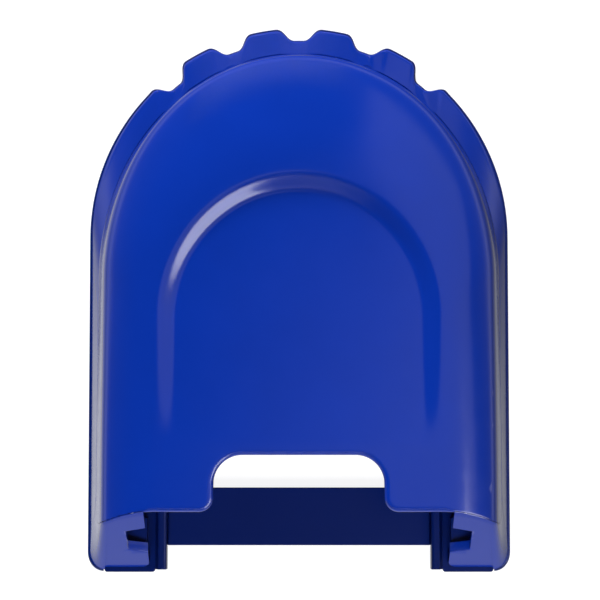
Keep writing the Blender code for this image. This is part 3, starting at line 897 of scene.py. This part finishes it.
def make_rail(side, finish):
    """One guide rail: a flange on the sole's leg and an upright with a rounded lead-in beside the throat."""
    across = [(RAIL_OUTER, SOLE_TOP + GAP), (LEG_INNER - GAP, SOLE_TOP + GAP), (LEG_INNER - GAP, BAR_BOTTOM),
              (RAIL_INNER, BAR_BOTTOM), (RAIL_INNER, RAIL_SHOULDER)]
    across += arc((RAIL_INNER + RAIL_LEAD_IN, RAIL_SHOULDER), RAIL_LEAD_IN, 180, 90, 6)[1:]
    across += [(RAIL_TOP_OUTER, RAIL_TOP), (RAIL_FOOT_OUTER, FLANGE_TOP), (RAIL_OUTER, FLANGE_TOP)]
    name = "left_rail_moulding" if side < 0 else "right_rail_moulding"
    body = loft([[Vector((side * x, y, z)) for x, z in across] for y in (REAR + RAIL_SET_BACK, RAIL_FRONT)])
    rail = new_object(name, mesh_from(name, *body), finish)
    middle = (BAR_REAR + BAR_FRONT) / 2
    seat = (BAR_SEAT_WIDTH, BAR_FRONT - BAR_REAR + 2 * GAP)
    cuts = [box_parts((side * BAR_SEAT_X, middle), seat, 0.0, BAR_TOP + GAP),
            box_parts((side * RELIEF_X, RELIEF_Y), RELIEF_SIZE, 0.0, CUT_TOP)]
    cuts += [hole_parts(side * RAIL_SCREW_X, y, PILOT_RADIUS, 0.0, CUT_TOP) for y in RAIL_SCREW_YS]
    carve(rail, "DIFFERENCE", cuts)
    carve(rail, "UNION", slot_shelf(side))
    add_bevel(rail, 0.0002, 2)
    apply_modifiers(rail)
    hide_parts("left_guide_rail" if side < 0 else "right_guide_rail")


def make_bar(finish):
    """The cross bar between the legs, with softened edges and a tongue at each end."""
    right = [(BAR_TONGUE, BAR_BOTTOM), (BAR_TONGUE, BAR_TONGUE_TOP), (RAIL_INNER - GAP, BAR_TONGUE_TOP),
             (RAIL_INNER - GAP, BAR_TOP)]
    across = right + [(-x, z) for x, z in reversed(right)]
    body = loft([[Vector((x, y, z)) for x, z in across] for y in (BAR_REAR, BAR_FRONT)])
    bar = new_object("cross_bar_moulding", mesh_from("cross_bar_moulding", *body), finish)
    add_bevel(bar, 0.0006, 4)
    apply_modifiers(bar)
    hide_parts("rear_cross_bar")


# Rollers, brushes and screws

def fluted_solid(name, profile, place):
    """A bored solid of revolution about X, with shallow waves across its tread."""
    sections = []
    top = max(radius for _, radius in profile)
    for reach, radius in profile:
        ring = []
        for index in range(TREAD_SIDES):
            turn = 2 * pi * index / TREAD_SIDES
            wave = FLUTE_DEPTH * (0.5 - 0.5 * cos(FLUTES * turn)) if radius > top * 0.9 else 0.0
            size = radius - wave
            ring.append(Vector(place) + Vector((reach, size * cos(turn), size * sin(turn))))
        sections.append(ring)
    points = [point for section in sections for point in section]
    faces = grid_faces(len(sections) + 1, TREAD_SIDES, around=True)
    faces = [tuple(index % len(points) for index in face) for face in faces]
    return mesh_from(name, points, faces, angle=50)


def make_roller(place, spot, tread, steel):
    """A roller with a fluted tread, two grooves and dished sides, and the pin that it turns on."""
    half = ROLLER_HALF
    outer = ROLLER_RADIUS
    bore = AXLE_RADIUS + GAP
    soft = 0.0007
    profile = [(-half, bore), (half, bore), (half, bore + 0.0008), (half - 0.0005, bore + 0.0012),
               (half - 0.0005, outer - 0.0018), (half, outer - 0.0014), (half, outer - soft)]
    profile += [(half - soft + soft * sin(radians(turn)), outer - soft + soft * cos(radians(turn)))
                for turn in (60, 30, 0)]
    for middle in (TREAD_GROOVE, -TREAD_GROOVE):
        profile += [(middle + 0.0004, outer), (middle + 0.0002, outer - 0.0005),
                    (middle - 0.0002, outer - 0.0005), (middle - 0.0004, outer)]
    profile += [(-x, radius) for x, radius in reversed(profile[2:10])]
    centre = (spot[0], spot[1], ROLLER_RADIUS)
    name = place + "_roller_tread"
    shape = fluted_solid(name, profile, centre)
    roller = new_object(name, shape, tread, place + "_wheel")
    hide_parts(place + "_roller")
    reach = AXLE_HALF
    pin_profile = [(-reach, AXLE_RADIUS - 0.0004), (0.0001 - reach, AXLE_RADIUS - 0.0002),
                   (0.0003 - reach, AXLE_RADIUS), (reach - 0.0003, AXLE_RADIUS),
                   (reach - 0.0001, AXLE_RADIUS - 0.0002), (reach, AXLE_RADIUS - 0.0004)]
    name = place + "_axle_pin"
    pin = new_object(name, mesh_from(name, *turned(pin_profile, 48, centre, "X")), steel)
    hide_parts(place + "_axle")


def make_brush(place, spot, size, holder_finish, bristle_finish):
    """A brush block with softened edges, and two rows of splayed nylon tufts below it."""
    name = place + "_block_moulding"
    block = box_parts(spot, size, BLOCK_BOTTOM, BLOCK_TOP)
    holder = new_object(name, mesh_from(name, *block), holder_finish)
    add_bevel(holder, 0.0005, 3)
    apply_modifiers(holder)
    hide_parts(place + "_brush_block")
    lengthways = size[0] > size[1]
    run = max(size) - 0.0040
    count = round(run / TUFT_PITCH)
    random.seed(len(place))
    parts = [box_parts(spot, (size[0] - 0.0026, size[1] - 0.0026), 0.0017, 0.0020)]
    for row in (-1, 1):
        for index in range(count + 1):
            place_along = -run / 2 + run * index / count
            offset = (place_along, row * TUFT_ROW) if lengthways else (row * TUFT_ROW, place_along)
            parts += tuft(spot[0] + offset[0], spot[1] + offset[1])
    name = place + "_tufts"
    tufts = new_object(name, mesh_from(name, *gather(parts)), bristle_finish)
    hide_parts(place + "_bristles")


def tuft(x, y):
    """Seven short filaments that splay a little towards the floor."""
    strands = []
    for index in range(7):
        turn = radians(60 * index)
        away = STRAND_RING if index < 6 else 0.0
        lean = 1.0 + random.uniform(0.3, 0.9)
        tip = TUFT_TIP + random.uniform(0.0, TUFT_UNEVEN)
        layers = ((TUFT_TOP, 1.0, 0.00015), (TUFT_MIDDLE, (1 + lean) / 2, 0.00014), (tip, lean, 0.00010))
        sections = []
        for height, spread, radius in layers:
            middle = (x + away * spread * cos(turn), y + away * spread * sin(turn))
            sections.append([Vector((middle[0] + radius * cos(radians(side)),
                                     middle[1] + radius * sin(radians(side)), height))
                             for side in range(0, 360, 60)])
        strands.append(loft(sections))
    return strands


def screw_mesh(name, upwards):
    """A pan-head screw with a rounded head, a thread and a cross recess, about the origin."""
    way = 1 if upwards else -1
    radius, length = SOLE_SCREW_SIZE if upwards else RAIL_SCREW_SIZE
    profile = [(-SCREW_HEAD, 0.0002)]
    profile += [(-SCREW_HEAD * (0.45 + 0.55 * cos(radians(turn))), radius * sin(radians(turn)) ** 0.7)
                for turn in (20, 40, 60, 75, 90)]
    profile += [(-0.0001, radius), (-0.0001, THREAD_ROOT)]
    turns = round((length - 0.0010) / THREAD_PITCH)
    for index in range(turns):
        low = 0.0002 + index * THREAD_PITCH
        profile += [(low, THREAD_ROOT), (low + THREAD_PITCH * 0.5, SCREW_RADIUS)]
    profile += [(length - 0.0006, THREAD_ROOT), (length, SCREW_RADIUS * 0.3)]
    shape = mesh_from(name, *turned([(way * reach, size) for reach, size in profile], 32, (0, 0, 0)))
    holder = bpy.data.objects.new(name, shape)
    bpy.context.scene.collection.objects.link(holder)
    face = -way * SCREW_HEAD
    low, high = sorted((face - way * 0.001, face + way * 0.0008))
    span = radius * 1.1
    for arm in ((span, RECESS_BLADE), (RECESS_BLADE, span)):
        carve(holder, "DIFFERENCE", [box_parts((0, 0), arm, low, high)])
    shape = holder.data
    bpy.data.objects.remove(holder)
    shape.shade_smooth()
    shape.set_sharp_from_angle(angle=radians(40))
    return shape


def make_screws(steel):
    """Every screw is a copy of its kind's pattern, moved to its seat."""
    corners = [(side, y) for side in (-1, 1) for y in RAIL_SCREW_YS]
    groups = [("sole_screw", True, [(x, y, SOLE_SCREW_SEAT) for x, y in BOSS_SPOTS]),
              ("rail_screw", False, [(side * RAIL_SCREW_X, y, FLANGE_TOP + GAP) for side, y in corners])]
    for label, upwards, spots in groups:
        pattern = screw_mesh(label, upwards)
        for number, (x, y, z) in enumerate(spots, 1):
            mesh = pattern.copy()
            mesh.transform(Matrix.Translation((x, y, z)))
            made = new_object(f"{label}_{number}_pan_head", mesh, steel)
            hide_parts(f"{label}_{number}")


# Materials

def link(tree, source, target):
    tree.links.new(source, target)


def noise(tree, scale, detail=3.0, rough=0.55, stretch=None):
    coordinates = tree.nodes.new("ShaderNodeTexCoord")
    texture = tree.nodes.new("ShaderNodeTexNoise")
    texture.inputs["Scale"].default_value = scale
    texture.inputs["Detail"].default_value = detail
    texture.inputs["Roughness"].default_value = rough
    if stretch:
        mapping = tree.nodes.new("ShaderNodeMapping")
        mapping.inputs["Scale"].default_value = stretch
        link(tree, coordinates.outputs["Object"], mapping.inputs["Vector"])
        link(tree, mapping.outputs["Vector"], texture.inputs["Vector"])
    else:
        link(tree, coordinates.outputs["Object"], texture.inputs["Vector"])
    return texture.outputs["Fac"]


def ramp(tree, value, low, high, start, end):
    """The value spread from low..high to start..end."""
    node = tree.nodes.new("ShaderNodeMapRange")
    node.inputs["From Min"].default_value = low
    node.inputs["From Max"].default_value = high
    node.inputs["To Min"].default_value = start
    node.inputs["To Max"].default_value = end
    link(tree, value, node.inputs["Value"])
    return node.outputs["Result"]


def arithmetic(tree, operation, first, second):
    """A Math node; second is another socket or a plain number."""
    node = tree.nodes.new("ShaderNodeMath")
    node.operation = operation
    link(tree, first, node.inputs[0])
    if isinstance(second, float):
        node.inputs[1].default_value = second
    else:
        link(tree, second, node.inputs[1])
    return node.outputs["Value"]


def drifting_colour(tree, colour, tint, share):
    """A colour that drifts between a little darker and a little lighter."""
    mix = tree.nodes.new("ShaderNodeMix")
    mix.data_type = "RGBA"
    mix.inputs["A"].default_value = (*[channel * (1 - tint) for channel in colour], 1.0)
    mix.inputs["B"].default_value = (*[min(channel * (1 + tint), 1.0) for channel in colour], 1.0)
    link(tree, share, mix.inputs["Factor"])
    return mix.outputs["Result"]


def moulded(name, colour, roughness, grain=0.003, edge_sheen_and_wear=0.35, shine=0.5):
    """Moulded plastic: slow colour and gloss drift, a fine grain, and paler edges, which are partly wear and
    partly a painted highlight.
    """
    made = bpy.data.materials.new(name)
    made.use_nodes = True
    tree = made.node_tree
    shader = tree.nodes["Principled BSDF"]
    shader.inputs["Specular IOR Level"].default_value = shine
    base = drifting_colour(tree, colour, PLASTIC_TINT, noise(tree, 22.0))
    # Painted highlight and wear: convex edges, picked out by pointiness, are mixed towards a lighter colour.
    geometry = tree.nodes.new("ShaderNodeNewGeometry")
    sheen_and_wear_mix = tree.nodes.new("ShaderNodeMix")
    sheen_and_wear_mix.data_type = "RGBA"
    sheen_and_wear_mix.inputs["B"].default_value = (*[channel + EDGE_SHEEN_AND_WEAR_LIGHT for channel in colour], 1.0)
    link(tree, ramp(tree, geometry.outputs["Pointiness"], *EDGE_SHEEN_AND_WEAR_RANGE, 0.0, edge_sheen_and_wear), sheen_and_wear_mix.inputs["Factor"])
    link(tree, base, sheen_and_wear_mix.inputs["A"])
    link(tree, sheen_and_wear_mix.outputs["Result"], shader.inputs["Base Color"])
    scuffs = noise(tree, 140.0, 5.0, 0.62)
    half = GLOSS_SPREAD / 2
    gloss = ramp(tree, scuffs, 0.35, 0.70, roughness - half, roughness + half)
    textured = tree.nodes.new("ShaderNodeAttribute")
    textured.attribute_name = "texture_share"
    extra = arithmetic(tree, "MULTIPLY", textured.outputs["Fac"], PANEL_ROUGHER)
    link(tree, arithmetic(tree, "ADD", gloss, extra), shader.inputs["Roughness"])
    bump = tree.nodes.new("ShaderNodeBump")
    bump.inputs["Strength"].default_value = 1.0
    bump.inputs["Distance"].default_value = grain * 0.001
    link(tree, noise(tree, GRAIN_SCALE, 2.0, 0.5), bump.inputs["Height"])
    link(tree, bump.outputs["Normal"], shader.inputs["Normal"])
    return made


def simple_surface(name, colour, roughness, bump_scale, metallic=0.0, bump_depth=0.00002, stretch=None,
                   tint=0.15):
    """A surface with noise in its colour, its gloss and its height."""
    made = bpy.data.materials.new(name)
    made.use_nodes = True
    tree = made.node_tree
    shader = tree.nodes["Principled BSDF"]
    shader.inputs["Metallic"].default_value = metallic
    drift = noise(tree, bump_scale * 0.2, 4.0, 0.6, stretch)
    link(tree, drifting_colour(tree, colour, tint, drift), shader.inputs["Base Color"])
    gloss = noise(tree, bump_scale * 0.5, 3.0, 0.6, stretch)
    link(tree, ramp(tree, gloss, 0.3, 0.7, roughness * 0.8, roughness * 1.2), shader.inputs["Roughness"])
    bump = tree.nodes.new("ShaderNodeBump")
    bump.inputs["Distance"].default_value = bump_depth
    link(tree, noise(tree, bump_scale, 2.0, 0.5, stretch), bump.inputs["Height"])
    link(tree, bump.outputs["Normal"], shader.inputs["Normal"])
    return made


def roller_rubber():
    return simple_surface("roller_rubber", RUBBER_GREY, 0.70, bump_scale=1800.0)


def bristle_nylon():
    return simple_surface("bristle_nylon", NYLON_WHITE, 0.45, bump_scale=2400.0, tint=0.08)


def stainless_steel():
    """Turned steel: fine lines around the piece come from noise stretched across X."""
    return simple_surface("stainless_steel", STEEL_GREY, 0.28, metallic=1.0, bump_scale=1500.0,
                          bump_depth=0.00001, stretch=(6.0, 1.0, 1.0), tint=0.10)


# Stage

def make_floor():
    """A pale light table, so the floor under the open throat is as bright as the floor around it."""
    mesh = bpy.data.meshes.new("floor")
    far = FLOOR_REACH
    mesh.from_pydata([(-far, -far, 0), (far, -far, 0), (far, far, 0), (-far, far, 0)], [], [(0, 1, 2, 3)])
    floor = bpy.data.objects.new("floor", mesh)
    bpy.context.scene.collection.objects.link(floor)
    made = bpy.data.materials.new("pale_floor")
    made.use_nodes = True
    shader = made.node_tree.nodes["Principled BSDF"]
    shader.inputs["Base Color"].default_value = (FLOOR_ALBEDO, FLOOR_ALBEDO, FLOOR_ALBEDO, 1.0)
    shader.inputs["Roughness"].default_value = 0.9
    shader.inputs["Specular IOR Level"].default_value = 0.0
    shader.inputs["Emission Color"].default_value = (1.0, 1.0, 1.0, 1.0)
    shader.inputs["Emission Strength"].default_value = FLOOR_GLOW
    mesh.materials.append(made)
    floor.visible_diffuse = False
    floor.visible_glossy = False
    floor.visible_shadow = False
    floor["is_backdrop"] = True


def make_world():
    """Soft studio surroundings: bright walls, a dark ceiling, the left brighter than the right."""
    world = bpy.data.worlds.new("studio")
    bpy.context.scene.world = world
    world.use_nodes = True
    tree = world.node_tree
    coordinates = tree.nodes.new("ShaderNodeTexCoord")
    split = tree.nodes.new("ShaderNodeSeparateXYZ")
    link(tree, coordinates.outputs["Generated"], split.inputs["Vector"])
    up = tree.nodes.new("ShaderNodeValToRGB")
    up.color_ramp.interpolation = "EASE"
    elements = up.color_ramp.elements
    while len(elements) < len(SKY_STOPS):
        elements.new(0.5)
    for element, (place, value) in zip(elements, SKY_STOPS):
        element.position = place
        element.color = (value, value, value, 1.0)
    link(tree, ramp(tree, split.outputs["Z"], -1.0, 1.0, 0.0, 1.0), up.inputs["Fac"])
    lean = tree.nodes.new("ShaderNodeVectorMath")
    lean.operation = "DOT_PRODUCT"
    lean.inputs[1].default_value = SKY_LEAN
    link(tree, coordinates.outputs["Generated"], lean.inputs[0])
    low = ramp(tree, split.outputs["Z"], -1.0, 0.0, 1.0, 0.0)
    side = arithmetic(tree, "ADD", arithmetic(tree, "MULTIPLY", lean.outputs["Value"], low), SKY_BASE)
    side = arithmetic(tree, "MAXIMUM", side, 0.0)
    scale = tree.nodes.new("ShaderNodeVectorMath")
    scale.operation = "SCALE"
    link(tree, up.outputs["Color"], scale.inputs[0])
    link(tree, side, scale.inputs["Scale"])
    background = tree.nodes["Background"]
    link(tree, scale.outputs["Vector"], background.inputs["Color"])
    background.inputs["Strength"].default_value = SKY_STRENGTH
    world.cycles_visibility.diffuse = False


def make_light(name, place, aim, size, power, glossy):
    """An area light: a glossy one only shows in reflections, any other only lights the surfaces."""
    data = bpy.data.lights.new(name, "AREA")
    data.shape = "RECTANGLE"
    data.size, data.size_y = size
    data.energy = power
    light = bpy.data.objects.new(name, data)
    bpy.context.scene.collection.objects.link(light)
    light.visible_glossy = glossy
    light.visible_diffuse = not glossy
    light.location = place
    light.rotation_euler = (Vector(aim) - Vector(place)).to_track_quat("-Z", "Y").to_euler()
    return light


def make_camera():
    """Almost straight above, from 4.5 degrees behind the rear."""
    data = bpy.data.cameras.new("camera")
    data.sensor_width = SENSOR_WIDTH
    data.lens = LENS
    camera = bpy.data.objects.new("camera", data)
    bpy.context.scene.collection.objects.link(camera)
    tilt = radians(CAMERA_TILT)
    target = Vector(CAMERA_TARGET)
    forward = Vector((0.0, sin(tilt), -cos(tilt)))
    camera.location = target - forward
    camera.rotation_euler = (tilt, 0.0, 0.0)
    bpy.context.scene.camera = camera


def make_lights():
    """Four that light the surfaces, then a side panel and a key that only show in reflections."""
    make_light("rear_softbox", (0.0, -1.3, 1.3), (0, 0, 0), (1.4, 0.8), 33, False)
    make_light("front_softbox", (-0.3, 1.9, 0.8), (0, 0, 0), (1.4, 0.8), 92, False)
    make_light("floor_bounce", (0.0, -0.1, -0.8), (0, 0, 0), (1.5, 1.5), 9, False)
    make_light("low_fill", (0.0, -1.2, 0.20), (0, 0, 0), (1.6, 0.4), 5, False)
    panel = make_light("right_panel", (1.10, 0.62, 1.30), (1.10, 0.62, 0), (1.6, 2.4), 7.0, True)
    panel.rotation_euler = (0.0, 0.0, radians(PANEL_LIGHT_TURN))
    make_light("key", (0.905, -0.76, 0.92), (0, 0, 0.04), (1.2, 0.9), 27, True)


def main():
    """Every piece, then the stage, the lights and the camera."""
    shell = moulded("gloss_blue_plastic", SHELL_BLUE, 0.18)
    make_cover(shell)
    # Painted shade: the frame's dark navy finish paints the shade under the cover onto the sole, rails, bar,
    # brush blocks and the skirt's foot.
    frame_plastic = moulded("navy_frame_plastic", FRAME_SHADE_NAVY, 0.35, grain=0.012, edge_sheen_and_wear=0.0, shine=0.15)
    make_skirt(shell, frame_plastic)
    make_sole(frame_plastic)
    make_rail(-1, frame_plastic)
    make_rail(1, frame_plastic)
    make_bar(frame_plastic)
    rubber = roller_rubber()
    nylon = bristle_nylon()
    steel = stainless_steel()
    for place, spot in ROLLERS.items():
        make_roller(place, spot, rubber, steel)
    for place, (spot, size) in BRUSHES.items():
        make_brush(place, spot, size, frame_plastic, nylon)
    make_screws(steel)
    make_floor()
    make_world()
    make_lights()
    make_camera()
    bpy.context.scene.view_settings.view_transform = "Standard"
    size = {"cad": [list(corner) for corner in cad_box], "visual": [list(corner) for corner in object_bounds()]}


main()
